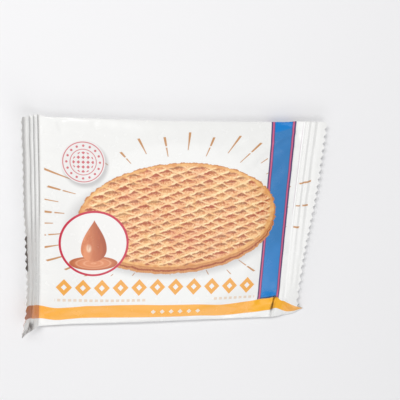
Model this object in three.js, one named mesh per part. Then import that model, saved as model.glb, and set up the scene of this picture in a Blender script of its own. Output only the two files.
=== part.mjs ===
// A shut flow-wrap pouch holding one round, flat biscuit, lying with its printed face up.
// Millimetres, +Z up. +X runs along the film web, from the upturned end seal to the flat one,
// and +Y runs across it. The film is one tube, folded flat: its two long edges are soft folds,
// both ends are crimped and cut in a zigzag, and its overlap is a strip folded down on the back.
// The pouch can't be seen into, so film and biscuit are one solid.
import * as THREE from 'three';

// ---- film and contents --------------------------------------------------------------
const FLAT_W = 95;            // lay-flat width of the film tube
const ROOT_X = 56.5;          // pouch centre to the root of each end seal
const ROOT_SAG = 0.5;         // the roots are drawn inwards by this much at mid-width
const DISC_R = 40;            // radius of the biscuit
const DISC_Y = -2.5;          // it lies a little nearer the low-Y fold
const HALF_T = 3.7;           // half of the wrapped thickness over the biscuit
const RIM_SOFT = 2.2;         // how softly the film turns over the biscuit's rim
const BULGE = 0.3;            // outward belly of the film between rim and edge
const FULL_LOW = 0.25;        // how nearly round that belly is along the low-Y fold
const FULL_HIGH = 0.25;       // and along the high-Y fold
const CORNER_P = 9;           // squareness of the outline that the belly runs out to
const EDGE_HALF = 0.4;        // half thickness of the fold along each long edge
const SEAL_HALF = 0.2;        // half thickness of the pressed end seals
const PRESSED = 0.05;         // the biscuit's weight presses the back film this much flat
// The low-Y fold wanders. For each X: how far it lies out of line, and how far it is lifted.
const LOW_FOLD = [
  [-56.5, 0, 0], [-47, 0.1, 0], [-40, 0.1, 0.15], [-30, 0.25, 0.3], [-20, 0.32, 0.5], [-10, 0.55, 0.65],
  [0, 0.55, 0.6], [8, 0.38, 0.5], [16, 0.14, 0.25], [26, -0.02, 0], [36, -0.3, 0], [48, -0.7, 0],
];

// The high-Y fold is drawn in between the seals, most of all beside the upturned one.
const HIGH_FOLD = [
  [-56.5, 0], [-54, 1.0], [-50, 1.05], [-44, 0.85], [-24, 0.85], [-8, 0.75], [4, 0.68], [16, 0.6], [28, 0.5],
  [38, 0.42], [48, 0.45], [53, 0.25], [56.5, 0],
];

// ---- end seals ----------------------------------------------------------------------
const TEETH = 29;             // zigzag teeth across each end
const TOOTH_DEPTH = 1.1;      // tip to valley
// Crimp flutes run across the web: distance from the root, and height above the mid-plane.
// The margin beyond them is plain.
const UP_FLUTES = [[1.15, 0.4], [2.6, -0.4], [3.9, 0.4], [5.1, -0.4], [6.5, 0.35]];
const OUT_FLUTES = [[0.95, -0.22], [2.1, 0.22], [3.35, -0.22], [4.7, 0.22], [6.3, -0.12]];
const FLUTE_FADE = 0.6;       // they flatten out by this much towards low Y
const UP_W = 10.5;            // width of the upturned seal, root to tooth tips
const UP_INSET = 0.6;         // its fold lies this far in from the root
const UP_TURN = 0.7;          // length of film over which it turns up
// Degrees that it stands up from the web, by place across the web.
const UP_ANGLE = [[-47.5, 46], [-44, 52], [-40, 57], [-28, 61], [-20, 61], [-3, 57.5], [5, 54.5], [20, 53.5], [47.5, 53.5]];
const OUT_W = 10.65;          // width of the flat seal at its high-Y corner
const OUT_W_CUT = 3.1;        // it is cut askew, narrower by this much past mid-width
const OUT_W_TIP = 3.5;        // and it ends in a point at its low-Y corner

// The flat seal's low-Y corner is bent down. For each X: where the bent film starts, where it
// is halfway, and its outermost line, each as y and height over the mid-plane. These three
// lines lie at EAR_LINES across the flat film; the first of EAR_LINES is not bent yet.
const EAR = [
  [47, -36.6, 0.7, -42.4, 0.4, -46.4, 0],
  [51, -36.6, 0.5, -42.3, 0.2, -46.6, -0.2],
  [55, -38.0, 0.1, -43.6, -0.5, -46.8, -1.2],
  [59, -40.1, -0.35, -44.9, -1.5, -46.7, -2.2],
  [63, -42.2, -1.0, -44.9, -2.2, -46.2, -2.6],
  [65, -42.8, -1.4, -44.4, -2.45, -45.1, -2.65],
  [67.5, -43.2, -1.8, -43.6, -2.5, -43.9, -2.65],
];
const EAR_LINES = [-20, -37.3, -43.5, -47.5];
const EAR_FROM = [48.5, 53.5]; // X over which the pouch passes into the bent corner
const EAR_HALF = 0.3;         // half thickness there

// ---- overlap strip on the back, flush where the biscuit presses it flat --------------
const FIN_T = 0.35;           // proud of the back film
const FIN_T_PRESSED = 0.12;   // proud of the film inside the end seals
const FIN_COLS = [28, 34];    // it covers these columns of the film grid

// ---- grid ---------------------------------------------------------------------------
const COLS = 2 * TEETH;       // half a tooth each
const BODY_ROWS = 22;
const MID_Z = HALF_T - PRESSED; // mid-plane of the film above the surface it lies on

const lerp = THREE.MathUtils.lerp;
const ramp = (v, a, b) => THREE.MathUtils.smoothstep(v, a, b);

// Straight-line interpolation in a list of rows that start with rising numbers.
function lookUp(rows, at, column = 1) {
  if (at <= rows[0][0]) return rows[0][column];
  for (let i = 1; i < rows.length; i++) {
    if (at <= rows[i][0]) {
      const k = (at - rows[i - 1][0]) / (rows[i][0] - rows[i - 1][0]);
      return lerp(rows[i - 1][column], rows[i][column], k);
    }
  }
  return rows[rows.length - 1][column];
}

// Half thickness of the pouch at a point, where the fold on that side lies at y = +-half.
function halfThickness(x, y, half) {
  const dy = y - DISC_Y;
  const r = Math.hypot(x, dy);
  const c = r > 1e-6 ? Math.abs(x) / r : 1;
  const s = r > 1e-6 ? Math.abs(dy) / r : 0;
  const span = dy >= 0 ? half - DISC_Y : half + DISC_Y;
  const reach = ((c / ROOT_X) ** CORNER_P + (s / span) ** CORNER_P) ** (-1 / CORNER_P);
  const past = 0.5 * (r - DISC_R + Math.hypot(r - DISC_R, RIM_SOFT));
  const t = Math.min(1, past / (reach - DISC_R));
  const thin = lerp(EDGE_HALF, SEAL_HALF, ramp(Math.abs(x), 50, ROOT_X));
  const slack = (1 - t) * (1 + BULGE * t);
  const round = Math.sqrt(1 - t * t);
  const k = (dy < 0 ? FULL_LOW : FULL_HIGH) * ramp(s, 0.45, 0.95);
  return thin + (HALF_T - thin) * lerp(slack, round, k);
}

// Half of one cross-section of the tube, from its middle to the fold at +Y or -Y: the film
// keeps its length, so where the biscuit lifts it the folds come closer together. Returns
// y and half thickness against length of film.
const STEPS = 400;
const sections = new Map();
function section(x, up) {
  const key = `${x.toFixed(4)} ${up}`;
  if (sections.has(key)) return sections.get(key);
  let half = FLAT_W / 2;
  let table;
  for (let pass = 0; pass < 6; pass++) {
    table = [[0, 0, halfThickness(x, 0, half)]];
    for (let i = 1; i <= STEPS; i++) {
      const y = (up * half * i) / STEPS;
      const h = halfThickness(x, y, half);
      const [q0, y0, h0] = table[i - 1];
      table.push([q0 + Math.hypot(y - y0, h - h0), y, h]);
    }
    half += FLAT_W / 2 - table[STEPS][0];
  }
  const scale = FLAT_W / 2 / table[STEPS][0];
  const at = (q) => {
    const want = Math.abs(q) / scale;
    let lo = 0;
    let hi = STEPS;
    while (hi - lo > 1) {
      const m = (lo + hi) >> 1;
      if (table[m][0] <= want) lo = m; else hi = m;
    }
    const k = THREE.MathUtils.clamp((want - table[lo][0]) / (table[hi][0] - table[lo][0]), 0, 1);
    return { y: lerp(table[lo][1], table[hi][1], k), h: lerp(table[lo][2], table[hi][2], k) };
  };
  sections.set(key, at);
  return at;
}

// y and height of the film's mid-plane in the bent corner, at x and at q across the film.
function ear(x, q) {
  if (q >= EAR_LINES[0]) return { y: q, z: 0 };
  const ys = [EAR_LINES[0], lookUp(EAR, x, 1), lookUp(EAR, x, 3), lookUp(EAR, x, 5)];
  const zs = [0, lookUp(EAR, x, 2), lookUp(EAR, x, 4), lookUp(EAR, x, 6)];
  const line = (values) => lookUp(EAR_LINES.map((l, i) => [-l, values[i]]), -q);
  const k = THREE.MathUtils.clamp((EAR_LINES[0] - q) / (EAR_LINES[0] - EAR_LINES[1]), 0, 1);
  const ease = k < 1 ? k * (1.6 - 0.6 * k) : 1;   // it starts to bend gently
  return { y: line(ys), z: line(zs) * ease };
}

const rootX = (q) => ROOT_X + ROOT_SAG / 2 - ROOT_SAG * (1 - (q / (FLAT_W / 2)) ** 2);
const tip = (q) => ramp(-q, 36.6, 38.6) * (1 - ramp(-q, 39.6, 45.5));
const outWidth = (q) => OUT_W - OUT_W_CUT * ramp(-q, -25, 28) + OUT_W_TIP * tip(q);

// A point of the front (side = 1) or back (side = -1) film between the two roots.
function bodyPoint(x, q, side) {
  let { y, h } = section(x, q < 0 ? -1 : 1)(q);
  y -= lookUp(LOW_FOLD, x, 1) * ramp(-q, 43.6, FLAT_W / 2) + lookUp(HIGH_FOLD, x, 1) * ramp(q, 41, FLAT_W / 2);
  let z = lookUp(LOW_FOLD, x, 2) * ramp(-q, 41.5, FLAT_W / 2);
  const bent = ramp(x, EAR_FROM[0], EAR_FROM[1]);
  if (bent > 0) {
    const e = ear(x, q);
    y = lerp(y, e.y, bent);
    z = lerp(z, e.z, bent);
    h = lerp(h, Math.min(h, EAR_HALF), ramp(-q, 30, 38) * bent);
  }
  const root = rootX(q) - (x < 0 ? UP_INSET : 0);
  return [(x * root) / ROOT_X, y, MID_Z + z + side * h];
}

// A point of the upturned seal: w from its root, off from its mid-plane.
function upPoint(w, off, q, side) {
  const full = THREE.MathUtils.degToRad(lookUp(UP_ANGLE, q));
  const turned = Math.min(w, UP_TURN);
  const N = 12;
  let x = UP_INSET - rootX(q);
  let z = MID_Z;
  for (let i = 0; i < N; i++) {
    const a = full * ((i + 0.5) / N) * (turned / UP_TURN);
    x -= (turned / N) * Math.cos(a);
    z += (turned / N) * Math.sin(a);
  }
  const a = full * (turned / UP_TURN);
  x -= (w - turned) * Math.cos(a);
  z += (w - turned) * Math.sin(a);
  const faded = off * (1 - FLUTE_FADE * ramp(-q, -14, 12));
  const o = faded + side * SEAL_HALF;
  return [x + o * Math.sin(a), q, z + o * Math.cos(a)];
}

// A point of the flat seal: w from its root, off from its mid-plane.
function outPoint(w, off, q, side) {
  const { y, z } = ear(ROOT_X + w, q);
  const faded = off * (1 - FLUTE_FADE * ramp(-q, -12, 18)) * (1 - ramp(-q, 24, 34));
  return [rootX(q) + w, y, MID_Z + z + faded + side * SEAL_HALF];
}

// Rows of the film grid from the upturned seal's teeth to the flat seal's teeth.
const rows = [];
const tooth = (j) => (j % 2 ? 0 : TOOTH_DEPTH);
rows.push((j, q, side) => upPoint(UP_W - tooth(j), 0, q, side));
for (const [w, off] of [...UP_FLUTES].reverse()) rows.push((j, q, side) => upPoint(w, off, q, side));
for (let i = 0; i <= BODY_ROWS; i++) {
  const x = -ROOT_X + (2 * ROOT_X * i) / BODY_ROWS;
  rows.push((j, q, side) => bodyPoint(x, q, side));
}
for (const [w, off] of OUT_FLUTES) rows.push((j, q, side) => outPoint(w, off, q, side));
rows.push((j, q, side) => outPoint(outWidth(q) - tooth(j), 0, q, side));

function finDepth(row, col) {
  if (col < FIN_COLS[0] || col > FIN_COLS[1]) return 0;
  const inBody = row > UP_FLUTES.length && row < rows.length - 1 - OUT_FLUTES.length;
  return inBody ? FIN_T : FIN_T_PRESSED;
}

function pouch() {
  const positions = [];
  for (const side of [1, -1]) {
    rows.forEach((point, i) => {
      for (let j = 0; j <= COLS; j++) {
        const q = -FLAT_W / 2 + (FLAT_W * j) / COLS;
        const p = point(j, q, side);
        if (side < 0) p[2] = Math.max(0, p[2] - finDepth(i, j));
        positions.push(...p);
      }
    });
  }
  const R = rows.length;
  const front = (i, j) => i * (COLS + 1) + j;
  const back = (i, j) => R * (COLS + 1) + i * (COLS + 1) + j;
  const index = [];
  const quad = (a, b, c, d) => index.push(a, b, c, a, c, d);
  for (let i = 0; i < R - 1; i++) {
    for (let j = 0; j < COLS; j++) {
      quad(front(i, j), front(i + 1, j), front(i + 1, j + 1), front(i, j + 1));
      quad(back(i, j + 1), back(i + 1, j + 1), back(i + 1, j), back(i, j));
    }
    quad(back(i, 0), back(i + 1, 0), front(i + 1, 0), front(i, 0));
    quad(back(i + 1, COLS), back(i, COLS), front(i, COLS), front(i + 1, COLS));
  }
  for (let j = 0; j < COLS; j++) {
    quad(back(0, j + 1), back(0, j), front(0, j), front(0, j + 1));
    quad(back(R - 1, j), back(R - 1, j + 1), front(R - 1, j + 1), front(R - 1, j));
  }
  const geometry = new THREE.BufferGeometry();
  geometry.setAttribute('position', new THREE.Float32BufferAttribute(positions, 3));
  geometry.setIndex(index);
  geometry.computeVertexNormals();
  return geometry;
}

const geometry = pouch();
geometry.computeBoundingBox();
const { min, max } = geometry.boundingBox;

const pack = new THREE.Mesh(
  geometry,
  new THREE.MeshStandardMaterial({ color: 0xf3f3f1, roughness: 0.35, metalness: 0 }),
);
pack.name = 'pack';
// The row's origin is under the middle of the overall length and width.
pack.position.set(-(min.x + max.x) / 2, -(min.y + max.y) / 2, -min.z);

const model = new THREE.Group();
model.add(pack);
export default model;
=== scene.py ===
import math

import bpy
import numpy as np
from mathutils import Matrix, Vector


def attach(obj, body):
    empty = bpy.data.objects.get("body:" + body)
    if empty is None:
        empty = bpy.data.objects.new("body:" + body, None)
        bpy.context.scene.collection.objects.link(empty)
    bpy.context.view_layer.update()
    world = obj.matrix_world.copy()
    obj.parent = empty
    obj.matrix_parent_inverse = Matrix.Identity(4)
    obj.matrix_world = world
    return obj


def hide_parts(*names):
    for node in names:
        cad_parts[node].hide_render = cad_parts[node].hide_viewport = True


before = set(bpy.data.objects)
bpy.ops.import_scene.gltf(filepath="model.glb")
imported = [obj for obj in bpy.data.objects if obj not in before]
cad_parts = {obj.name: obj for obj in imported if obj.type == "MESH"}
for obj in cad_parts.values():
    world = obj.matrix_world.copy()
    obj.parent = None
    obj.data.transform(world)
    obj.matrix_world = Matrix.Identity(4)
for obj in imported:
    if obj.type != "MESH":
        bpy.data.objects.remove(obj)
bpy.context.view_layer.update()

# Everything below is in millimetres in the pouch's own coordinates until it becomes a mesh:
# x along the film web from the pouch's middle, y across it, z above the surface it lies on.
MM = 0.001
SHIFT_X = -2.152  # the pouch's middle in the row frame

# ---- sizes, as the solid has them ----------------------------------------------------
FLAT_W, HALF_W = 95.0, 47.5
ROOT_X, ROOT_SAG = 56.5, 0.5
DISC_R, DISC_Y, HALF_T = 40.0, -2.5, 3.7
RIM_SOFT, BULGE, CORNER_P = 2.2, 0.3, 9.0
EDGE_HALF, PRESSED = 0.4, 0.05
FULL_LOW, FULL_HIGH = 0.25, 0.25
# The low fold wanders: along X, how far it lies out of line and how far it is lifted.
LOW_X = [-56.5, -47, -40, -30, -20, -10, 0, 8, 16, 26, 36, 48]
LOW_OUT = [0.4, 0.1, 0.1, 0.25, 0.32, 0.55, 0.55, 0.38, 0.14, -0.02, -0.3, -0.7]
LOW_LIFT = [0, 0, 0.15, 0.3, 0.5, 0.65, 0.6, 0.5, 0.25, 0, 0, 0]
# The high fold is drawn in between the seals, most of all beside the upturned one.
HIGH_X = [-56.5, -54, -50, -44, -36, -24, -8, 4, 16, 28, 38, 48, 53, 56.5]
HIGH_IN = [0, 1.0, 1.05, 0.85, 0.85, 0.85, 0.75, 0.68, 0.6, 0.5, 0.42, 0.45, 0.25, 0]
TEETH, TOOTH_DEPTH = 29, 1.1
FLUTE_PITCH, FLUTE_START = 2.4, 0.9
UP_W, UP_TURN, UP_INSET = 10.5, 0.7, 0.6
OUT_W, OUT_W_CUT, OUT_W_TIP = 10.65, 3.1, 3.5
MID_Z = HALF_T - PRESSED

# ---- finer sizes, of the film itself ---------------------------------------------------
FILM = 0.11           # half thickness of the pressed seals
FIN_Q = (-0.9, 9.0)   # the overlap strip on the back, across the film
FIN_T = 0.3

# The flat seal's low-Y corner is bent down and partly turned under. For each X: where the
# bent strip starts, where it is halfway, and the outermost line of it, as y and height.
EAR_X = [47.0, 51.0, 53.0, 55.0, 57.0, 59.0, 61.0, 63.0, 65.0, 66.5, 67.5]
EAR_FY = [-36.6, -36.6, -37.0, -38.0, -39.0, -40.1, -41.2, -42.2, -42.8, -43.1, -43.2]
EAR_FZ = [0.7, 0.5, 0.35, 0.1, -0.1, -0.35, -0.65, -1.0, -1.4, -1.7, -1.8]
EAR_BY = [-42.4, -42.3, -42.9, -43.6, -44.2, -44.9, -45.0, -44.9, -44.4, -43.9, -43.6]
EAR_BZ = [0.4, 0.2, 0.0, -0.5, -1.0, -1.5, -1.9, -2.2, -2.45, -2.5, -2.5]
EAR_CY = [-46.4, -46.6, -46.7, -46.8, -46.8, -46.7, -46.6, -46.2, -45.1, -44.3, -43.9]
EAR_CZ = [0.0, -0.2, -0.6, -1.2, -1.8, -2.2, -2.45, -2.6, -2.65, -2.65, -2.65]
EAR_Q0, EAR_QF = -20.0, -37.3   # film across the web where the bend starts, and its first line


def ramp(v, a, b):
    t = np.clip((np.asarray(v, float) - a) / (b - a), 0.0, 1.0)
    return t * t * (3 - 2 * t)


def wander(x, y, scale, seed, octaves=3):
    """Smooth, seeded unevenness of about -1 to 1, made of crossing waves."""
    rng = np.random.default_rng(seed)
    out, total = np.zeros(np.broadcast(x, y).shape), 0.0
    for o in range(octaves):
        amp = 0.55**o
        for _ in range(5):
            a = rng.uniform(0, 2 * math.pi)
            k = 2 * math.pi / scale * (1.9**o) * rng.uniform(0.7, 1.3)
            p = rng.uniform(0, 2 * math.pi)
            out = out + amp * np.sin(k * (x * math.cos(a) + y * math.sin(a)) + p)
            total += amp * 0.45
    return out / total


# ---- the pouch between its seals -------------------------------------------------------
def half_thickness(x, y, half):
    dy = y - DISC_Y
    r = np.maximum(np.hypot(x, dy), 1e-6)
    c, s = np.abs(x) / r, np.abs(dy) / r
    span = np.where(dy >= 0, half - DISC_Y, half + DISC_Y)
    reach = ((c / ROOT_X) ** CORNER_P + (s / span) ** CORNER_P) ** (-1 / CORNER_P)
    past = 0.5 * (r - DISC_R + np.hypot(r - DISC_R, RIM_SOFT))
    t = np.minimum(1.0, past / (reach - DISC_R))
    thin = EDGE_HALF + (FILM - EDGE_HALF) * ramp(np.abs(x), 50, ROOT_X)
    slack = (1 - t) * (1 + BULGE * t)
    full = np.sqrt(np.maximum(1 - t * t, 0))
    k = np.where(dy < 0, FULL_LOW, FULL_HIGH) * ramp(s, 0.45, 0.95)
    return thin + (HALF_T - thin) * (slack * (1 - k) + full * k)


def section(x, q):
    """y and half thickness at film coordinate q, across a section that keeps its film's length."""
    y_out, h_out = np.zeros_like(q), np.zeros_like(q)
    for up in (1.0, -1.0):
        half = HALF_W
        k = np.linspace(0, 1, 401)
        for _ in range(6):
            y = up * half * k
            h = half_thickness(x, y, half)
            arc = np.concatenate([[0], np.cumsum(np.hypot(np.diff(y), np.diff(h)))])
            half += HALF_W - arc[-1]
        arc *= HALF_W / arc[-1]
        sel = q * up >= 0
        y_out[sel] = np.interp(np.abs(q[sel]), arc, y)
        h_out[sel] = np.interp(np.abs(q[sel]), arc, h)
    return y_out, h_out


def along(x, places, table, soft=5.0):
    fine = np.linspace(-60, 60, 241)
    bell = np.exp(-0.5 * (np.arange(-12, 13) / soft) ** 2)
    line = np.pad(np.interp(fine, places, table), 12, mode="edge")
    return np.interp(x, fine, np.convolve(line, bell / bell.sum(), "valid"))


def low_out(x):
    return along(x, LOW_X, LOW_OUT)


def low_lift(x):
    return along(x, LOW_X, LOW_LIFT)


def high_in(x):
    return along(x, HIGH_X, HIGH_IN, 1.5)


def root_x(q):
    return ROOT_X + ROOT_SAG / 2 - ROOT_SAG * (1 - (q / HALF_W) ** 2)


def out_width(q):
    tip = ramp(-q, 36.6, 38.6) * (1 - ramp(-q, 39.6, 45.5))
    return OUT_W - OUT_W_CUT * ramp(-q, -25, 28) + OUT_W_TIP * tip


def up_angle(q):
    """Degrees that the upturned seal stands up, along it."""
    knots = [-47.5, -44, -40, -34, -28, -22, -14, -3, 5, 20, 35, 47.5]
    angle = [46, 52, 57.5, 60, 61, 62, 59.5, 57.5, 54.5, 53.5, 53, 54]
    fine = np.linspace(-52, 52, 521)
    line = np.interp(fine, knots, angle)
    bell = np.exp(-0.5 * (np.arange(-20, 21) / 9) ** 2)
    return np.radians(np.interp(q, fine, np.convolve(np.pad(line, 20, mode="edge"), bell / bell.sum(), "valid")))


def waves(w, at, turns):
    """A crimp profile of -1 to 1 that passes these numbers of half turns at these places."""
    return np.sin(math.pi * np.interp(w, at, turns))


def up_flute(w):
    wave = waves(w, [0.0, 0.4, 1.9, 3.25, 4.5, 5.75, 7.2, 8.5, 12.0], [-0.4, 0, 1, 2, 3, 4, 5, 5.5, 5.5])
    return wave * ramp(w, -0.2, 0.35) * (1 - 0.9 * ramp(w, 8.5, 10.3))


def out_flute(w):
    wave = waves(w, [0.0, 0.4, 1.5, 2.7, 4.0, 5.4, 6.3, 12.0], [0.65, 1, 2, 3, 4, 5, 5.5, 5.5])
    return wave * ramp(w, -0.2, 0.4) * (1 - ramp(w, 6.2, 7.6))


def ear_path(x, q):
    """The mid-plane of the bent corner at this x: y, height, the film's normal, and the line
    of the print that lies there."""
    fy, fz, by, bz, cy, cz = (np.interp(x, EAR_X, t) for t in (EAR_FY, EAR_FZ, EAR_BY, EAR_BZ, EAR_CY, EAR_CZ))
    k = np.linspace(0, 1, 60)[:-1]
    run = [np.stack([EAR_Q0 + (fy - EAR_Q0) * k, fz * k * k * (1.6 - 0.6 * k)], -1)]
    corner = [np.array([fy, fz]), np.array([by, bz]), np.array([cy, cz])]
    lengths = [EAR_Q0 - EAR_QF]
    for p0, p1 in zip(corner[:-1], corner[1:]):
        d = np.hypot(*(p1 - p0))
        n = max(int(d / 0.1), 4)
        run.append(p0 + (p1 - p0) * np.linspace(0, 1, n + 1)[:-1, None])
        lengths.append(d)
    d = (corner[2] - corner[1]) / np.hypot(*(corner[2] - corner[1]))
    away = np.array([-d[1], d[0]]) * (1 if d[0] < 0 else -1)         # below the strip
    r = 0.3
    th = np.linspace(0, math.pi, 16)[1:]
    turn = corner[2] + away * r + r * (np.sin(th)[:, None] * d - np.cos(th)[:, None] * away)
    back = turn[-1] - d * np.linspace(0.1, 12, 120)[:, None] * 0.98
    back = back + away * (0.04 * np.linspace(0.1, 12, 120)[:, None])
    pts = np.concatenate([*run, corner[2][None], turn, back])
    seg = np.hypot(*np.diff(pts, axis=0).T)
    s = np.concatenate([[0], np.cumsum(seg)])
    # film length: the slack white film above the strip stretches to fit, the strip keeps its own
    first = s[len(run[0])]
    length = np.where(s < first, s / first * lengths[0], lengths[0] + s - first)
    want = np.linspace(0, EAR_Q0 + HALF_W + 0.6, 1100)
    y, z = np.interp(want, length, pts[:, 0]), np.interp(want, length, pts[:, 1])
    bell = np.exp(-0.5 * (np.arange(-24, 25) * (want[1]) / 0.22) ** 2)
    bell /= bell.sum()
    soft = lambda v: np.convolve(np.pad(v, 24, mode="reflect", reflect_type="odd"), bell, "valid")
    y, z = soft(y), soft(z)
    ty, tz = np.gradient(y), np.gradient(z)
    n = np.maximum(np.hypot(ty, tz), 1e-9)
    at = np.clip(EAR_Q0 - q, 0, None)
    out = [np.interp(at, want, v) for v in (y, z, tz / n, -ty / n)]
    high = q > EAR_Q0
    lines = [-EAR_Q0, -EAR_QF, -EAR_QF + lengths[1], -EAR_QF + lengths[1] + lengths[2], 60.0]
    print_v = -np.interp(-q, lines, [-EAR_Q0, -EAR_QF, -EAR_QF + 6.24, -EAR_QF + 6.24 + lengths[2], 60.0])
    return (np.where(high, q, out[0]), np.where(high, 0, out[1]), np.where(high, 0, out[2]),
            np.where(high, 1, out[3]), np.where(high, q, print_v))


def fold(x, y, p0, p1, width, height, skew=0.0):
    """One soft crease of the film along a line, fading at both ends."""
    d = np.array([p1[0] - p0[0], p1[1] - p0[1]], float)
    length = np.hypot(*d)
    d /= length
    t = ((x - p0[0]) * d[0] + (y - p0[1]) * d[1]) / length
    n = (-(x - p0[0]) * d[1] + (y - p0[1]) * d[0]) / width
    fade = ramp(t, -0.05, 0.25) * (1 - ramp(t, 0.6, 1.08))
    return height * fade * (np.exp(-n * n) + skew * n * np.exp(-0.6 * n * n))


def creases(x, y, side):
    """Height of the film's wrinkles on the front (side 1) or back (side -1)."""
    rng = np.random.default_rng(11 if side > 0 else 23)
    z = np.zeros(np.broadcast(x, y).shape)
    for end in (-1, 1):  # short pleats that the crimped ends gather into the pouch
        for i in range(17):
            y0 = -44 + 88 * (i + rng.uniform(0.15, 0.85)) / 17
            run = rng.uniform(4, 13) * (1.2 if abs(y0) > 25 else 0.9)
            lean = -0.32 * y0 / 47 * run + rng.uniform(-1, 1)
            z = z + fold(x, y, (end * 56.3, y0), (end * (56.3 - run), y0 + lean),
                         rng.uniform(0.7, 1.5), rng.choice([-1, 1]) * rng.uniform(0.06, 0.2))
    for sx in (-1, 1):  # slack folds that run from the corners to the biscuit's rim
        for sy in (-1, 1):
            for i in range(3):
                a = math.radians(28 + 17 * i + rng.uniform(-5, 5))
                p1 = (sx * (DISC_R + 1) * math.cos(a), DISC_Y + sy * (DISC_R + 1) * math.sin(a))
                p0 = (sx * (54.5 - 2.5 * i), sy * (38 + 3.2 * i))
                z = z + fold(x, y, p0, p1, rng.uniform(1.4, 2.6), rng.choice([-1, 1]) * rng.uniform(0.12, 0.26), 0.25)
    for i in range(9):  # shallow drags along the long edges
        x0 = -44 + 88 * (i + rng.uniform(0, 1)) / 9
        sy = rng.choice([-1, 1])
        z = z + fold(x, y, (x0, sy * 46.4), (x0 + rng.uniform(-3, 3), sy * rng.uniform(38, 42)),
                     rng.uniform(0.8, 1.6), rng.uniform(-0.12, 0.12))
    z = z + 0.09 * wander(x, y, 30, 5 + int(side)) + 0.025 * wander(x, y, 8, 9 + int(side))
    if side > 0:
        z = z + fold(x, y, (-49.5, 47.2), (-46.5, 38.5), 1.1, -0.42, 0.5)   # dimple, top corner
        z = z + fold(x, y, (-52.5, 46.5), (-44, 43.5), 0.8, 0.2)
        z = z + fold(x, y, (55, 44.5), (41, 37.5), 1.0, 0.3, 0.6)          # across the stripe's top
        z = z + fold(x, y, (50, 47), (43, 44.2), 0.9, -0.22)
        z = z + fold(x, y, (41.5, -38.6), (54, -35.8), 1.7, -0.62, 0.5)
        z = z + fold(x, y, (53, -37), (61, -26), 1.6, 0.2)
    return z


def pinch(x, y, ink=False):
    """The sharp fold where the bent corner meets the pouch: its height, or the painted shade along it."""
    line = np.interp(y, [-47.5, -42, -39, -36.3, -33], [50.6, 50.4, 50.7, 51.3, 52.2])
    along = ramp(-y, 34.8, 37.5) * (1 - 0.75 * ramp(-y, 43.0, 46.5))
    d = x - line
    # painted shade: a line along the fold and a spot at its upper end
    if ink:
        core = np.exp(-((d / (0.48 + 0.3 * ramp(-y, 38.5, 40.0))) ** 2)) * ramp(-y, 35.6, 36.4) * (1 - 0.75 * ramp(-y, 42.2, 43.6))
        core = core * (1 - 0.55 * np.exp(-(((y + 37.9) / 0.7) ** 2)))
        spot = np.exp(-(((x - 51.9) / 0.8) ** 2 + ((y + 36.2) / 0.42) ** 2))
        return 0.95 * np.maximum(core, spot)
    return along * (-1.15 * np.exp(-((d / 0.26) ** 2)) + 0.35 * np.exp(-(((d + 0.75) / 0.5) ** 2))
                    + 0.2 * np.exp(-(((d - 0.8) / 0.6) ** 2)))


def grid():
    """Rows from the upturned seal's teeth to the flat seal's, columns across the film."""
    margin = np.array([0.2, 0.42, 0.64, 0.84, 1.0])
    crimp = np.arange(1, 34) * 0.2                       # w = 0.2 ... 6.6
    near = np.linspace(0, 3.15, 10)[:-1]
    mid = np.linspace(3.15, 2 * ROOT_X - 3.15, 165)
    body = np.concatenate([near, mid, 2 * ROOT_X - near[::-1]]) - ROOT_X
    body = body[(body < 50.0) | (body > 53.6)]
    body = np.sort(np.concatenate([body, np.arange(50.05, 53.6, 0.14)]))
    cells = 3 * 2 * TEETH
    cols = np.linspace(-HALF_W, HALF_W, cells + 1)
    step = FLAT_W / cells
    extra = np.array([-HALF_W + 0.08, -HALF_W + 0.26])
    cols = np.sort(np.concatenate([cols, extra, -extra]))
    tri = np.abs(((cols + HALF_W) / (FLAT_W / TEETH)) % 1.0 - 0.5) * 2   # 1 at valleys
    return margin, crimp, body, cols, tri


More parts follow.
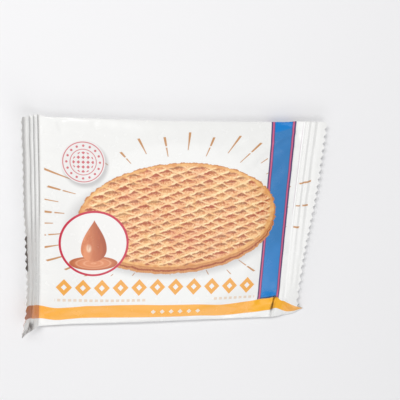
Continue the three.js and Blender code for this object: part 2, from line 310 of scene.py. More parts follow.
def film():
    """The front and back surfaces as arrays of points, with film coordinates."""
    margin, crimp, body, q, tri = grid()
    edge = np.sqrt(np.clip(1 - (np.clip(np.abs(q) - 46.9, 0, 0.6) / 0.605) ** 2, 0.02, 1))
    front, back, coord, ink, ink_back, dark = [], [], [], [], [], []

    def add(f, b, u, v, v_back, shade):
        """One row: front and back points, film coordinates, the print's lines, and painted shade."""
        front.append(f)
        back.append(b)
        coord.append(np.stack([np.broadcast_to(u, q.shape), q], -1))
        ink.append(v)
        ink_back.append(v_back)
        dark.append(shade)

    def up_row(w):
        full = up_angle(q)
        turned = np.minimum(w, UP_TURN)
        x, z = UP_INSET - root_x(q), np.full_like(q, MID_Z)
        n = 14
        for i in range(n):
            a = full * ((i + 0.5) / n) * (turned / UP_TURN)
            x = x - turned / n * np.cos(a)
            z = z + turned / n * np.sin(a)
        a = full * (turned / UP_TURN)
        x = x - (w - turned) * np.cos(a)
        z = z + (w - turned) * np.sin(a)
        fade = 1 - 0.7 * ramp(-q, -14, 12)
        corner = ramp(-q, 34, 45)
        wave = up_flute(w)
        off = 0.54 * fade * wave * (1 - 0.7 * corner)
        out = ramp(w, 1.5, 7)
        off = off + out * (0.16 * wander(q, w * 2, 24, 41) + 0.05 * wander(q, w, 5, 43))
        off = off + ramp(-q, -10, 10) * (1 - corner) * 0.1 * np.sin(w * 2.9 + 0.5 * np.sin(q / 7)) * ramp(w, 0.3, 1.5)
        off = off + corner * (0.3 * out * wander(q * 1.4, w * 1.3, 8, 47, 2) - 0.3 * np.exp(-((w - 5.0) / 1.1) ** 2))
        dent = np.exp(-(((w - 4.6 - 0.5 * (q + 45.0)) / 1.1) ** 2 + ((q + 44.8) / 1.6) ** 2))
        off = off - 0.8 * dent
        # the crushed corner: its film splays outwards
        splay = np.interp(w, [0, 1, 3, 5, 7.2, 9.4, 11.0], [0.4, 0.55, 0.9, 1.35, 1.45, 1.7, 2.2])
        y = q + 0.15 * out * wander(q, w, 14, 51) - splay * ramp(-q, 40, HALF_W)
        def at(side):
            o = off + side * FILM
            return np.stack([x + o * np.sin(a), y, z + o * np.cos(a)], -1)
        # the tube is sealed a little turned, so the print slides across the seal
        slip = np.interp(w, [0, 2, 5, 7.2, 9.4, 10.5], [0, 0.75, 1.95, 2.95, 3.2, 3.3]) * ramp(-q, 15, 36)
        # painted shade: darker in the dent and crumpled corner, in the crimp grooves, at the root, on the outer
        # margin, and evenly darker lower down the seal
        shade = 0.85 * corner * dent
        crumple = ramp(wander(w * 1.3, q * 1.6 - w * 1.2, 3.2, 71), -0.3, 0.5)
        shade = shade + (0.22 + 0.6 * crumple) * corner * ramp(w, 2.6, 5.0) * ramp(-q - 0.35 * (w - 6), 43.2, 45.4)
        shade = shade + fade * (1 - corner) * (0.2 * ramp(-wave, 0.2, 1.0) * ramp(w, 0.5, 1.0)
                                               + 0.3 * np.exp(-(((w - 0.1) / 0.4) ** 2))
                                               + 0.12 * ramp(w, 7.9, 8.4))
        shade = shade + 0.1 * (1 - fade)
        add(at(1), at(-1), -(ROOT_X + w), q - slip, q + slip, np.minimum(shade, 0.9))

    def out_row(w):
        xf = ROOT_X + w
        if np.ptp(xf) > 1e-9:
            y, z, ny, nz, v = np.array([[float(c) for c in ear_path(xi, qi)] for xi, qi in zip(xf, q)]).T
        else:
            y, z, ny, nz, v = ear_path(xf[0], q)
        fade = 1 - 0.75 * ramp(-q, -12, 18)
        out = ramp(w, 1.0, 7)
        low = ramp(-q, 24, 34)
        off = 0.21 * fade * out_flute(w) * (1 - low)
        off = off + out * (0.2 * wander(q, w * 2, 26, 61) + 0.04 * wander(q, w, 6, 63)) * (1 - low)
        x = root_x(q) + w
        def at(side):
            o = off + side * FILM
            return np.stack([x, y + o * ny, MID_Z + z + o * nz], -1)
        add(at(1), at(-1), xf, v, v, np.zeros_like(q))

    start = crimp[-1]
    for t in margin[::-1]:
        up_row(start + (UP_W - TOOTH_DEPTH * tri + 1.0 * ramp(-q, 46.0, HALF_W) - start) * t)
    for w in crimp[::-1]:
        up_row(np.full_like(q, w))
    for x in body:
        y, h = section(x, q)
        h = h * edge + 0.02
        flat = 1 - ramp(np.abs(x), 55.2, 56.5)
        keep = flat * ramp(HALF_W - np.abs(q), 0.0, 1.4)
        ny, nz, v = np.zeros_like(q), np.ones_like(q), q
        y = y - low_out(x) * ramp(-q, 43.6, HALF_W) - high_in(x) * ramp(q, 41.0, HALF_W)
        z = low_lift(x) * ramp(-q, 41.5, HALF_W)
        bent = ramp(x, 48.5, 53.5)
        if bent > 0:
            ey, ez, eny, enz, ev = ear_path(x, q)
            y, z, v = y + (ey - y) * bent, z + (ez - z) * bent, q + (ev - q) * bent
            ny, nz = eny * bent, 1 + (enz - 1) * bent
            n = np.hypot(ny, nz)
            ny, nz = ny / n, nz / n
            low = ramp(-q, 30, 38) * bent
            h = h + (np.minimum(h, 0.28) - h) * low
            keep = keep * (1 - 0.8 * low)
        hold = ramp(np.hypot(x, y - DISC_Y), 24, 40)                    # taut over the biscuit
        wf = creases(x, y, 1) * keep * (0.3 + 0.7 * hold) + pinch(x, y) * flat
        wb = creases(x, y, -1) * keep * hold - pinch(x, y) * flat * 0.8
        top = h + wf
        bottom = h - wb
        tight = top + bottom < 0.12                                      # never through itself
        top, bottom = np.where(tight, h, top), np.where(tight, h, bottom)
        xx = x * (root_x(q) - (UP_INSET if x < 0 else 0.0)) / ROOT_X
        f = np.stack([np.broadcast_to(xx, q.shape), y + top * ny, MID_Z + z + top * nz], -1)
        b = np.stack([np.broadcast_to(xx, q.shape), y - bottom * ny, MID_Z + z - bottom * nz], -1)
        fin = ramp(q, FIN_Q[0] - 0.3, FIN_Q[0]) * (1 - ramp(q, FIN_Q[1], FIN_Q[1] + 0.3))
        floor = 0.14 * (1 - fin)
        b[:, 2] = np.maximum(b[:, 2] - FIN_T * fin * flat, floor)
        # painted shade along the root of the upturned seal, and along the pinch
        root = 0.3 * math.exp(-(((x + 56.4) / 0.4) ** 2)) * (1 - 0.7 * ramp(-q, -14, 12))
        add(f, b, x, v, v, pinch(x, y, True) * flat + root)
    for w in crimp:
        out_row(np.full_like(q, w))
    for t in margin:
        out_row(start + (out_width(q) - TOOTH_DEPTH * tri - start) * t)
    return tuple(np.array(a) for a in (front, back, coord, ink, ink_back, dark))


def pouch_mesh():
    front, back, coord, ink, ink_back, dark = film()
    rows, cols = front.shape[:2]
    pts = np.concatenate([front.reshape(-1, 3), back.reshape(-1, 3)])
    pts = (pts + [SHIFT_X, 0, 0]) * MM
    n = rows * cols
    idx = np.arange(n).reshape(rows, cols)
    a, b, c, d = idx[:-1, :-1], idx[1:, :-1], idx[1:, 1:], idx[:-1, 1:]
    top = np.stack([a, b, c, d], -1).reshape(-1, 4)
    low = np.stack([d, c, b, a], -1).reshape(-1, 4) + n

    def wall(line, flip):
        p, r = line[:-1], line[1:]
        quad = np.stack([p + n, r + n, r, p], -1)
        return quad[:, ::-1] if flip else quad

    walls = [wall(idx[:, 0], False), wall(idx[:, -1], True), wall(idx[0], True), wall(idx[-1], False)]
    faces = np.concatenate([top, low, *walls])
    me = bpy.data.meshes.new("film")
    me.from_pydata(pts.tolist(), [], faces.tolist())
    me.validate()

    side = np.concatenate([np.ones(n), -np.ones(n)])
    flat = coord.reshape(-1, 2)
    film_co = np.concatenate([flat, flat])
    att = me.attributes.new("film", "FLOAT_VECTOR", "POINT")
    lines = np.column_stack([film_co[:, 0], np.concatenate([ink.ravel(), ink_back.ravel()]), side])
    att.data.foreach_set("vector", lines.astype(np.float32).ravel())
    # painted shade per point, read by the film material
    att = me.attributes.new("crease", "FLOAT", "POINT")
    att.data.foreach_set("value", np.tile(dark.ravel(), 2).astype(np.float32))

    # One flat map for baking: the front above, the back below, the thin edges between them.
    u = 0.004 + 0.992 * (film_co[:, 0] + 67.3) / 134.6
    v = (film_co[:, 1] + HALF_W) / FLAT_W
    uv = []
    loops = faces.ravel()
    U, V = u[loops].reshape(-1, 4), v[loops].reshape(-1, 4)
    nt = len(top)
    W = np.empty_like(V)
    W[:nt] = 0.318 + 0.678 * V[:nt]
    W[nt:2 * nt] = 0.004 + 0.262 * V[nt:2 * nt]
    at = 2 * nt
    for k, w in enumerate(walls):
        is_back = (w >= n)
        s = slice(at, at + len(w))
        W[s] = 0.274 + 0.011 * k + np.where(is_back, 0.0, 0.006)
        if k >= 2:
            U[s] = 0.004 + 0.992 * V[s]
        at += len(w)
    layer = me.uv_layers.new(name="OFBake")
    layer.data.foreach_set("uv", np.stack([U, W], -1).astype(np.float32).ravel())
    me.polygons.foreach_set("use_smooth", [True] * len(me.polygons))
    me.update()
    me.set_sharp_from_angle(angle=math.radians(55))
    return me


# ---- node writing ----------------------------------------------------------------------
class Sock:
    """A node socket or number that formulas can be written with."""

    def __init__(self, g, s):
        self.g, self.s = g, s

    def _(self, op, *others):
        return self.g.math(op, self, *others)

    def __add__(self, o): return self._("ADD", o)
    def __radd__(self, o): return self._("ADD", o)
    def __sub__(self, o): return self._("SUBTRACT", o)
    def __rsub__(self, o): return self.g.math("SUBTRACT", o, self)
    def __mul__(self, o): return self._("MULTIPLY", o)
    def __rmul__(self, o): return self._("MULTIPLY", o)
    def __truediv__(self, o): return self._("DIVIDE", o)
    def __neg__(self): return self._("MULTIPLY", -1.0)


class Graph:
    def __init__(self, name):
        self.mat = bpy.data.materials.new(name)
        self.mat.use_nodes = True
        self.t = self.mat.node_tree
        self.t.nodes.clear()

    def node(self, kind, **props):
        n = self.t.nodes.new(kind)
        for k, v in props.items():
            setattr(n, k, v)
        return n

    def put(self, socket, v):
        if isinstance(v, Sock):
            self.t.links.new(v.s, socket)
        elif isinstance(v, (tuple, list)) and len(v) == 3 and socket.type == "RGBA":
            socket.default_value = (*v, 1.0)
        else:
            socket.default_value = v

    def math(self, op, *args, clamp=False):
        n = self.node("ShaderNodeMath", operation=op, use_clamp=clamp)
        for i, a in enumerate(args):
            self.put(n.inputs[i], a)
        return Sock(self, n.outputs[0])

    def smooth(self, v, a, b):
        n = self.node("ShaderNodeMapRange", interpolation_type="SMOOTHSTEP")
        self.put(n.inputs["Value"], v)
        self.put(n.inputs["From Min"], a)
        self.put(n.inputs["From Max"], b)
        return Sock(self, n.outputs["Result"])

    def inside(self, dist, blur=0.16):
        """1 where a distance in mm is negative, 0 where it is positive."""
        return self.math("MULTIPLY_ADD", dist, -1.0 / blur, 0.5, clamp=True)

    def mix(self, fac, a, b):
        n = self.node("ShaderNodeMix", data_type="RGBA")
        self.put(n.inputs[0], fac)
        self.put(n.inputs[6], a)
        self.put(n.inputs[7], b)
        return Sock(self, n.outputs[2])

    def noise(self, vec, scale, detail=2.0, rough=0.5, dims="3D"):
        n = self.node("ShaderNodeTexNoise", noise_dimensions=dims)
        self.put(n.inputs["Vector"], vec)
        n.inputs["Scale"].default_value = scale
        n.inputs["Detail"].default_value = detail
        n.inputs["Roughness"].default_value = rough
        return Sock(self, n.outputs["Fac"])

    def vec(self, x, y, z=0.0):
        n = self.node("ShaderNodeCombineXYZ")
        for i, v in enumerate((x, y, z)):
            self.put(n.inputs[i], v)
        return Sock(self, n.outputs[0])


def lin(r, g, b):
    """An sRGB colour of 0 to 255 as linear light."""
    return tuple((c / 255 / 12.92) if c <= 10 else ((c / 255 + 0.055) / 1.055) ** 2.4 for c in (r, g, b))


# ---- the print ---------------------------------------------------------------------------
WHITE = lin(240, 240, 238)
BLUE = (0.04, 0.21, 0.51)
BLUE_LOW = (0.045, 0.245, 0.61)
BLUE_DEEP = (0.0, 0.21, 0.62)
PIN_DARK = lin(88, 66, 112)
PIN_RED = lin(210, 98, 138)
ORANGE = (0.97, 0.472, 0.064)
TITLE = lin(240, 170, 76)
RAY = lin(194, 132, 64)
RED = lin(200, 44, 72)
CARAMEL = lin(205, 112, 72)


def film_material():
    g = Graph("pack_film")
    a = g.node("ShaderNodeAttribute", attribute_name="film", attribute_type="GEOMETRY")
    sep = g.node("ShaderNodeSeparateXYZ")
    g.t.links.new(a.outputs["Vector"], sep.inputs[0])
    U, V, F = (Sock(g, sep.outputs[i]) for i in range(3))
    front = g.math("GREATER_THAN", F, 0.0)
    absn = lambda v: g.math("ABSOLUTE", v)
    mx = lambda p, q: g.math("MAXIMUM", p, q)
    mn = lambda p, q: g.math("MINIMUM", p, q)
    length = lambda p, q: g.math("SQRT", p * p + q * q)

    def band(v, lo, hi, blur=0.16):
        return g.inside(absn(v - (lo + hi) / 2) - (hi - lo) / 2, blur)

    def disc(cx, cy, r, blur=0.16):
        return g.inside(length(U - cx, V - cy) - r, blur)

    def ring(cx, cy, r, half, blur=0.16):
        return g.inside(absn(length(U - cx, V - cy) - r) - half, blur)

    uvec = g.vec(U, V, F)
    col = Sock(g, None)
    tint = g.noise(uvec, 0.05, 2)
    col = g.mix(tint, lin(241, 241, 239), lin(239, 239, 238))

    # -- waffle: where it is and its own plane, a round disc seen at a slant
    WX, WY, WA, WB = 3.0, 5.0, 44.0, 24.0
    tilt = math.radians(4)
    dx, dy = U - WX, V - WY
    e1 = (dx * math.cos(tilt) + dy * math.sin(tilt)) / WA

    def rad_at(shift):
        e2 = (dy * math.cos(tilt) - dx * math.sin(tilt) + shift) / WB
        return e2, length(e1, e2)

    e2, rr = rad_at(0.0)

    # -- rays all round it, evenly laid, long and short by turns
    N = 38
    ang = g.math("ARCTAN2", e2, e1) * (N / (2 * math.pi))
    idx = g.math("ROUND", ang)
    off = absn(ang - idx) * (2 * math.pi / N)
    tangent = length(e2 / rr * WA, e1 / rr * WB) * rr
    odd = absn(g.math("MODULO", absn(idx), 2.0))
    wn = g.node("ShaderNodeTexWhiteNoise", noise_dimensions="1D")
    g.put(wn.inputs["W"], idx)
    rnd = Sock(g, wn.outputs["Value"])
    r0 = 1.13 + odd * 0.1
    r1 = 1.34 + rnd * 0.2 + odd * 0.1
    thin = 0.2 + 0.32 * g.smooth(rr, r0, r1)
    ray = g.inside(off * tangent - thin, 0.2) * g.inside((r0 - rr) * WB, 0.3) * g.inside((rr - r1) * WB, 0.3)
    gap = g.inside((absn(rr - (r0 + r1) * 0.5) - 0.012) * -WB, 0.3)
    ray = ray * (1.0 - (1.0 - odd) * (1.0 - gap)) * (1.0 - odd * g.math("GREATER_THAN", U, 41.0))
    ray = ray * g.inside(-22.6 - V, 0.3) * g.inside(U - 63, 0.3) * g.inside(-54.5 - U, 0.3) * front
    col = g.mix(ray * 0.9, col, RAY)

    # -- blue stripe with a pinstripe inside each edge, on both faces
    SU = U + (V - 4.5) * 0.0115
    stripe = band(SU, 42.08, 53.2) * g.inside(-39.8 - V)
    scol = g.mix(g.smooth(V + (g.noise(uvec, 0.12, 2) - 0.5) * 12.0, -2.0, -18.0), BLUE, BLUE_LOW)
    # painted shade: the blue is deeper at both ends of the stripe, where the film is drawn tight and turns away from
    # the glare
    arch = -32.5 - V - (U - 47.2) * (U - 47.2) * 0.095
    deep = g.smooth(V - (U - 47.0) * 0.3, 43.0, 44.2) + g.smooth(arch, -0.3, 0.4) * 0.75 + g.smooth(arch, -1.6, 0.0) * 0.25
    scol = g.mix(g.math("MINIMUM", deep, 1.0), scol, BLUE_DEEP)
    scol = g.mix(band(SU, 42.0, 43.75, 0.3) + band(SU, 51.5, 53.3, 0.3), scol, PIN_DARK)
    scol = g.mix(band(SU, 42.75, 43.45, 0.25) + band(SU, 51.75, 52.45, 0.25), scol, PIN_RED)
    col = g.mix(stripe, col, scol)
    # -- painted light: the white is brighter beyond it, where the film slopes away from the key
    col = g.mix(band(U, 53.5, 57.2, 0.5) * band(V, -38, 47.5, 1.0) * front, col, lin(251, 251, 250))
    # -- hairline there
    hair = band(U, 55.9, 56.25, 0.3) * band(V, 6.0, 46.0, 6.0) * front
    col = g.mix(hair * 0.42, col, lin(178, 146, 170))

    # -- soft shadow of the pictured waffle
    sh = g.math("SQRT", g.math("POWER", (dx + 2.2) / (WA + 0.5), 2.0) + g.math("POWER", (dy + 4.2) / (WB + 0.4), 2.0))
    shade = 1.0 - g.smooth(sh, 0.93, 1.1)
    col = g.mix(shade * 0.34 * front * g.inside(U - 42.3, 0.3), col, lin(120, 112, 118))

    # -- its edge: two wafers with a caramel line between
    bump = g.noise(g.vec(g.math("ARCTAN2", e2, e1) * 11.0, 0.0, 0.0), 1.0, 2) * 0.08 - 0.04
    bump = bump + (g.noise(uvec, 1.3, 3, 0.6) - 0.5) * 0.03
    _, rA = rad_at(0.9)
    _, rB = rad_at(1.75)
    _, rC = rad_at(2.9)
    edge_c = g.mix(g.noise(g.vec(U * 1.4, V * 0.4, 3.0), 1.0, 3), lin(226, 162, 100), lin(190, 118, 66))
    top_m = g.inside((rr + bump - 1.0) * WB) * front
    col = g.mix(g.inside((rC + bump - 1.0) * WB) * front, col, edge_c)
    col = g.mix(g.inside((rB + bump - 1.0) * WB) * front, col, lin(166, 82, 40))
    col = g.mix(g.inside((rA + bump - 1.0) * WB) * front, col, edge_c)

    # -- its face: a slanting grid of ridges round sunken cells, no two cells alike
    RUN_1, RUN_2 = math.radians(31), math.radians(-42)   # the way each set of ridges runs
    LINES_1, LINES_2 = 7.2, 8.3                          # ridges of each set in the disc's radius
    wv = (g.noise(uvec, 0.11, 2) - 0.5) * 0.5
    wob1 = (g.noise(g.vec(U, V, 7.0), 0.4, 2) - 0.5) * 0.34
    wob2 = (g.noise(g.vec(U, V, 19.0), 0.4, 2) - 0.5) * 0.34
    g1 = (e2 * math.cos(RUN_1) - e1 * math.sin(RUN_1)) * LINES_1 + wv + wob1
    g2 = (e2 * math.cos(RUN_2) - e1 * math.sin(RUN_2)) * LINES_2 - wv + wob2
    c1, c2 = g.math("FRACT", g1) - 0.5, g.math("FRACT", g2) - 0.5
    cn = g.node("ShaderNodeTexWhiteNoise", noise_dimensions="2D")
    g.put(cn.inputs["Vector"], g.vec(g.math("FLOOR", g1), g.math("FLOOR", g2), 0.0))
    each = Sock(g, cn.outputs["Value"])
    jit = (g.noise(uvec, 0.8, 2) - 0.5) * 0.26
    cell = 1.0 - g.smooth(mx(absn(c1), absn(c2) * 0.96) + jit, 0.33, 0.45)
    rise = c1 + c2 * 0.45 + jit * 0.8
    mott = g.noise(uvec, 0.35, 3, 0.6)
    grain = g.noise(uvec, 1.2, 3, 0.6)
    patch = g.noise(uvec, 0.13, 3, 0.6)
    ridge_c = g.mix(g.smooth(mott, 0.38, 0.66) * 0.75, lin(255, 230, 180), lin(238, 164, 100))
    ridge_c = g.mix(g.smooth(absn(c2) - absn(c1), -0.05, 0.1) * 0.3, ridge_c, lin(236, 162, 102))
    floor_c = g.mix(g.smooth(grain, 0.36, 0.64), lin(204, 115, 60), lin(249, 192, 142))
    floor_c = g.mix(g.smooth(rise, -0.12, -0.5) * 0.6, floor_c, lin(255, 212, 152))
    dark_c = g.mix(g.smooth(each, 0.25, 0.75), lin(124, 54, 6), lin(164, 58, 18))
    face = g.mix(cell, ridge_c, floor_c)
    face = g.mix(cell * g.smooth(rise, -0.04, 0.2) * (0.62 + each * 0.3), face, dark_c)
    face = g.mix(g.smooth(grain, 0.58, 0.74) * 0.35, face, lin(255, 228, 176))
    face = g.mix(g.smooth(patch, 0.5, 0.68) * 0.4, face, g.mix(0.5, face, lin(236, 150, 124)))
    face = g.mix(g.smooth(patch, 0.5, 0.34) * 0.45, face, g.mix(0.5, face, lin(252, 214, 136)))
    rimm = g.smooth(rr + (g.noise(uvec, 0.4, 3) - 0.5) * 0.14, 0.925, 0.97)
    rim_c = g.mix(g.smooth(mott, 0.35, 0.7), lin(243, 190, 122), lin(222, 150, 84))
    rim_c = g.mix(g.smooth(rr, 0.975, 1.0), rim_c, lin(196, 124, 66))
    face = g.mix(rimm, face, rim_c)
    col = g.mix(top_m, col, face)

    # -- roundel: red ring round a caramel drop
    RX, RY, RR = -33.5, -7.5, 14.6
    col = g.mix(disc(RX, RY, RR) * front, col, lin(240, 239, 237))
    px, py = U - RX, V - (RY - 2.6)
    body = length(px, py) - 5.6
    up = mx(py, 0.0)
    high = up / 13.5
    neck = absn(px) - 5.6 * g.math("POWER", mx(1.0 - high, 0.0), 1.25) * (1.0 + 1.25 * high)
    tear = mx(neck, mx(-py, py - 13.5))
    dropm = mx(g.inside(body), g.inside(tear)) * front
    dcol = g.mix(g.smooth(px + py * 0.15, -5.5, 5.0), lin(232, 150, 104), lin(172, 84, 50))
    dcol = g.mix(g.smooth(length(px + 2.1, (py - 0.6) * 0.6), 1.5, 0.5) * 0.8, dcol, lin(255, 226, 196))
    dcol = g.mix(g.smooth(g.noise(g.vec(px * 0.5, py * 0.14, 0.0), 1.0, 2), 0.45, 0.62) * 0.5, dcol, lin(196, 104, 62))
    pool = (g.math("POWER", px / 10.6, 2.0) + g.math("POWER", (py + 6.4) / 3.3, 2.0))
    pcol = g.mix(g.smooth(pool, 0.15, 1.0), lin(222, 140, 96), lin(184, 98, 60))
    pcol = g.mix(g.smooth(g.math("SINE", length(px, (py + 6.4) * 3.1) * 1.9), 0.3, 1.0) * 0.55, pcol, lin(240, 178, 138))
    inring = disc(RX, RY, RR - 0.5) * front
    col = g.mix(g.inside((pool - 1.0) * 3.0) * inring, col, pcol)
    col = g.mix(dropm * inring, col, dcol)
    col = g.mix(ring(RX, RY, RR, 0.5) * front, col, RED)

    # -- plain badge: rings and dots
    BX, BY = -38.5, 28.5
    bd = length(U - BX, V - BY)
    bsh = 1.0 - g.smooth(length(U - BX - 0.9, V - BY + 1.3), 8.3, 10.6)
    col = g.mix(bsh * 0.42 * front, col, lin(110, 104, 110))
    col = g.mix(g.inside(bd - 9.1) * front, col, lin(236, 233, 232))
    bcol = lin(204, 70, 84)
    ba = g.math("ARCTAN2", V - BY, U - BX) * (16 / (2 * math.pi))
    dots = length((ba - g.math("ROUND", ba)) * (2 * math.pi * 6.9 / 16), bd - 6.9)
    marks = g.inside(absn(bd - 8.4) - 0.2) + g.inside(absn(bd - 5.4) - 0.16) + g.inside(dots - 0.5)
    lx, ly = g.math("FRACT", (U - BX) / 2.0 + 0.5) - 0.5, g.math("FRACT", (V - BY) / 2.0 + 0.5) - 0.5
    marks = marks + g.inside((absn(lx) + absn(ly)) * 2.0 - 0.75) * g.inside(bd - 4.4)
    col = g.mix(g.math("MINIMUM", marks, 1.0) * 0.85 * front, col, bcol)

    # -- a row of lozenges
    T0, TP = -50.2, 8.28
    k = g.math("FLOOR", (U - T0) / TP)
    lu = (U - T0) / TP - k - 0.5
    loz = (absn(lu) * TP / 3.55 + absn(V + 28.4) / 4.1 - 1.0) * 2.6
    cut = (absn(lu) * TP / 3.55 + absn(V + 28.4) / 4.1 - 0.36) * 2.6
    inrow = band(U, T0, T0 + 11 * TP) * front
    lozm = g.inside(loz) * (1.0 - g.inside(cut)) * inrow
    col = g.mix(lozm, col, TITLE)
    # -- fine dashes under it
    dash = g.math("FRACT", U / 2.35)
    dm = g.inside((absn(dash - 0.5) - 0.3) * 2.35) * band(V, -35.3, -34.0) * (band(U, -50, -9.5) + band(U, 21.5, 41)) * front
    col = g.mix(dm * 0.5, col, lin(222, 178, 128))

    # -- orange band, both faces
    centre = -40.75 - (1.0 - g.smooth(absn(U + 47.0), 0.0, 12.0)) * 0.75
    centre = centre - (1.0 - g.smooth(absn(U - 25.0), 0.0, 12.0)) * 0.7 + g.smooth(U, 32.0, 50.0) * 1.25
    centre = centre - g.smooth(U, 53.0, 58.0) * 0.9
    centre = centre - (1.0 - g.smooth(absn(U + 50.0), 0.0, 7.0)) * 0.35
    BV = V - centre
    top = 3.12 + g.smooth(U, -42.0, -34.0) * (1.0 - g.smooth(U, 44.0, 48.0)) * 0.25
    top = top + (1.0 - g.smooth(absn(U + 17.0), 2.0, 17.0)) * 0.5 - (1.0 - g.smooth(absn(U - 54.6), 0.0, 2.4)) * 0.8
    bandm = g.inside(BV - top) * g.inside(-3.12 - BV)
    oc = g.mix(g.noise(uvec, 0.09, 2), ORANGE, lin(249, 174, 70))
    # painted shade: deeper orange near the pinched corner, where the film turns away from the glare
    oc = g.mix((1.0 - g.smooth(absn(U - 48.0), 5.5, 10.5)) * 0.85, oc, (1.0, 0.475, 0.01))
    oc = g.mix(g.smooth(U, -56.4, -57.0), oc, lin(228, 154, 106))       # painted shade: the band is browner on the upturned seal
    # painted shade: darker still towards the upturned seal's cut
    oc = g.mix(g.smooth(U + (g.noise(uvec, 0.8, 2) - 0.5) * 1.2, -61.2, -61.8), oc, lin(180, 104, 64))
    # painted light: the white below the band is brighter, most of all in the middle
    painted_light = 0.35 + 0.55 * g.smooth(U, -20.0, 5.0) * (1.0 - g.smooth(U, 28.0, 42.0) * 0.6)
    col = g.mix(g.inside(BV + 3.3, 0.4) * band(U, -56.0, 56.0, 1.0) * front * painted_light, col, lin(251, 251, 250))
    col = g.mix(bandm, col, oc)
    col = g.mix(band(BV - top, 0.0, 0.85, 0.25) * band(SU, 43.4, 51.8) * 0.85, col, lin(20, 46, 66))    # inks overlap
    pu = g.math("FRACT", (U + 8.0) / 4.1) - 0.5
    pips = (absn(pu) * 4.1 + absn(BV)) - 1.15
    col = g.mix(g.inside(pips) * band(U, -8.0, 16.6) * front * 0.9, col, lin(238, 232, 222))

    # -- dark registration mark left at the upturned end's cut
    mark = band(U, -68.0, -65.3, 0.3) * band(V, -18.2, -2.2, 0.5)
    mark = mark * g.smooth(g.noise(uvec, 0.6, 2), 0.3, 0.42)
    col = g.mix(mark, col, lin(62, 52, 42))

    # -- a little greyer where film lies on film
    pressed = g.smooth(absn(U), 57.0, 62.8)
    grease = g.noise(uvec, 0.4, 3)
    col = g.mix(pressed * 0.25 * grease, col, g.mix(0.5, col, lin(205, 205, 206)))

    # -- painted shade from the crease attribute: darker in the sharpest folds, the crimp grooves, the seal's root and margin, and the crumpled corner
    cr = g.node("ShaderNodeAttribute", attribute_name="crease", attribute_type="GEOMETRY")
    painted_shade = Sock(g, cr.outputs["Fac"]) * (0.75 + 0.5 * g.noise(uvec, 1.2, 2))
    col = g.mix(g.math("MINIMUM", painted_shade, 1.0), col, g.mix(0.18, lin(56, 34, 26), col))

    # ---- surface
    bsdf = g.node("ShaderNodeBsdfPrincipled")
    g.put(bsdf.inputs["Base Color"], col)
    bsdf.inputs["IOR"].default_value = 1.6
    bsdf.inputs["Metallic"].default_value = 0.0
    rough = 0.26 + (g.noise(uvec, 0.25, 3) - 0.5) * 0.12 + pressed * 0.06
    g.put(bsdf.inputs["Roughness"], rough)

    crinkle = g.noise(g.vec(U, V * 1.15, F * 3.0), 0.16, 2, 0.5)
    fine = g.noise(g.vec(U, V, F), 1.3, 3, 0.6)
    knurl = g.math("SINE", U * (2 * math.pi / 1.1)) * band(V, *FIN_Q) * g.math("LESS_THAN", F, 0.0) * g.inside(absn(U) - 56)
    micro = g.math("SINE", V * (2 * math.pi / 0.82)) * g.smooth(absn(U), 57.2, 58.2) * (1.0 - g.smooth(absn(U), 62.5, 63.4))
    height = crinkle * 0.06 + fine * 0.009 + knurl * 0.02 + micro * 0.012
    # the film drawn tight over the pinched corner lies flatter than what is round it
    tight = -32.6 - V - absn(U - 48.5) * 0.22 - g.math("MAXIMUM", absn(U - 48.5) - 7.0, 0.0) * 0.6
    height = height + g.math("MINIMUM", g.math("MAXIMUM", tight, 0.0), 4.6) * 0.22 * front
    bump_n = g.node("ShaderNodeBump")
    bump_n.inputs["Strength"].default_value = 0.55
    bump_n.inputs["Distance"].default_value = 0.001
    g.put(bump_n.inputs["Height"], height)
    g.t.links.new(bump_n.outputs[0], bsdf.inputs["Normal"])
    out = g.node("ShaderNodeOutputMaterial")
    g.t.links.new(bsdf.outputs[0], out.inputs[0])
    return g.mat


# ---- the pack ------------------------------------------------------------------------------
me = pouch_mesh()
pack = bpy.data.objects.new("pack_film", me)
bpy.context.scene.collection.objects.link(pack)
me.materials.append(film_material())
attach(pack, "root")
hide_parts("pack")


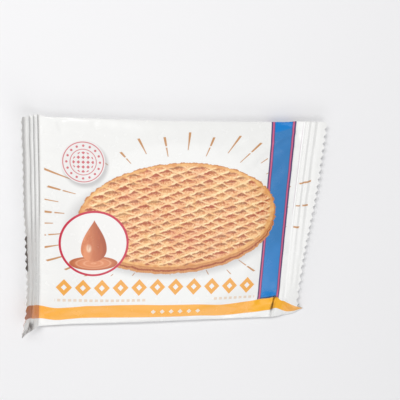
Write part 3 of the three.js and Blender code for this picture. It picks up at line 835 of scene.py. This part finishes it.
# ---- floor, light, camera --------------------------------------------------------------------
def floor():
    bpy.ops.mesh.primitive_plane_add(size=6.0, location=(0, 0, -0.0001))
    o = bpy.context.object
    o.name = "floor"
    g = Graph("floor_white")
    geo = g.node("ShaderNodeNewGeometry")
    n = g.noise(Sock(g, geo.outputs["Position"]), 9.0, 3)
    bsdf = g.node("ShaderNodeBsdfPrincipled")
    g.put(bsdf.inputs["Base Color"], g.mix(n, (0.86, 0.858, 0.87), (0.87, 0.868, 0.88)))
    bsdf.inputs["Roughness"].default_value = 0.9
    bsdf.inputs["Specular IOR Level"].default_value = 0.1
    out = g.node("ShaderNodeOutputMaterial")
    g.t.links.new(bsdf.outputs[0], out.inputs[0])
    o.data.materials.append(g.mat)


def area(name, at, aim, size, radiance, colour=(1, 1, 1), level=False):
    """An area light; level keeps its long side along X."""
    d = bpy.data.lights.new(name, "AREA")
    d.shape = "RECTANGLE"
    d.size, d.size_y = size
    d.energy = radiance * math.pi * size[0] * size[1]
    d.color = colour
    o = bpy.data.objects.new(name, d)
    o.location = at
    o.rotation_mode = "QUATERNION"
    back = (Vector(at) - Vector(aim)).normalized()
    side = (Vector((1, 0, 0)) - back * back.x).normalized()
    turned = Matrix((side, back.cross(side), back)).transposed().to_quaternion()
    o.rotation_quaternion = turned if level else (-back).to_track_quat("-Z", "Y")
    bpy.context.scene.collection.objects.link(o)
    return o


floor()
area("key", (-0.31, 0.47, 0.70), (0, 0, 0), (0.42, 0.12), 30, (1.0, 0.995, 0.985), level=True)
area("softbox", (0.095, -0.225, 0.6), (0.0, 0.0, 0.0), (0.5, 0.44), 1.3)
area("fill", (0.0, -0.66, 0.36), (0.0, -0.12, 0.0), (1.0, 0.3), 1.35)

scene = bpy.context.scene
world = bpy.data.worlds.new("studio")
world.use_nodes = True
world.node_tree.nodes["Background"].inputs[0].default_value = (0.985, 0.99, 1.0, 1)
world.node_tree.nodes["Background"].inputs[1].default_value = 0.33
scene.world = world
scene.view_settings.view_transform = "Standard"
scene.view_settings.look = "None"

cam_data = bpy.data.cameras.new("camera")
cam_data.lens, cam_data.sensor_width = 63.0, 36.0
cam_data.clip_start, cam_data.clip_end = 0.01, 20
cam = bpy.data.objects.new("camera", cam_data)
scene.collection.objects.link(cam)
R = Matrix(((0.980398, 0.06608, 0.185617), (-0.004542, 0.949413, -0.313997), (-0.196976, 0.306999, 0.931102)))
at = Vector((-47.600778 + SHIFT_X, 105.426148, 285.29116 + MID_Z)) * MM
cam.matrix_world = Matrix.Translation(at) @ R.transposed().to_4x4()
scene.camera = cam
